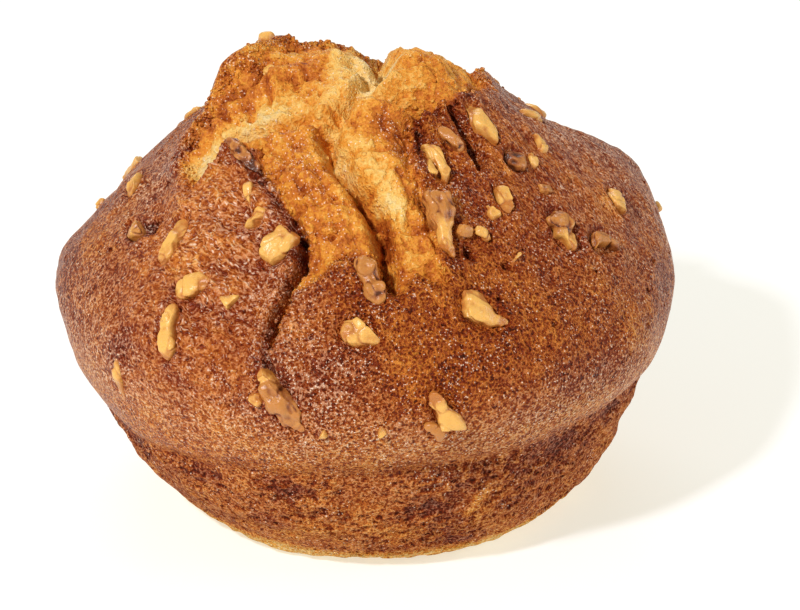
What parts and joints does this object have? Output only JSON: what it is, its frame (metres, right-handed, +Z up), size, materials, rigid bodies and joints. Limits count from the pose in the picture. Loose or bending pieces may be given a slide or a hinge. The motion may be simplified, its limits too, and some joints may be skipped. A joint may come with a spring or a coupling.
{
  "type": "walnut cake",
  "caption": "Round uncut walnut cake with sloping tin-baked sides, a domed crust burst open at the crown and chopped walnuts baked into the top",
  "frame": {"origin": "middle of the flat base that the cake rests on", "axes": "+Z up through the crown, -Y towards the shown side, +X to the right of the shown side"},
  "size_m": [0.1315, 0.1314, 0.0986],
  "materials": {
    "baked_crust": "baked brown cake crust over a pale yellow crumb",
    "walnut_kernel": "toasted walnut kernel"
  },
  "bodies": {
    "root": {"cake": "baked_crust", "walnut_01": "walnut_kernel", "walnut_02": "walnut_kernel", "walnut_03": "walnut_kernel", "walnut_04": "walnut_kernel", "walnut_05": "walnut_kernel", "walnut_06": "walnut_kernel", "walnut_07": "walnut_kernel", "walnut_08": "walnut_kernel", "walnut_09": "walnut_kernel", "walnut_10": "walnut_kernel", "walnut_11": "walnut_kernel", "walnut_12": "walnut_kernel", "walnut_13": "walnut_kernel", "walnut_14": "walnut_kernel", "walnut_15": "walnut_kernel", "walnut_16": "walnut_kernel", "walnut_17": "walnut_kernel", "walnut_18": "walnut_kernel", "walnut_19": "walnut_kernel", "walnut_20": "walnut_kernel", "walnut_21": "walnut_kernel", "walnut_22": "walnut_kernel", "walnut_23": "walnut_kernel", "walnut_24": "walnut_kernel", "walnut_25": "walnut_kernel", "walnut_26": "walnut_kernel", "walnut_27": "walnut_kernel", "walnut_28": "walnut_kernel", "walnut_29": "walnut_kernel", "walnut_30": "walnut_kernel", "walnut_31": "walnut_kernel", "walnut_32": "walnut_kernel", "walnut_33": "walnut_kernel", "walnut_34": "walnut_kernel", "walnut_35": "walnut_kernel", "walnut_36": "walnut_kernel"}
  },
  "joints": []
}
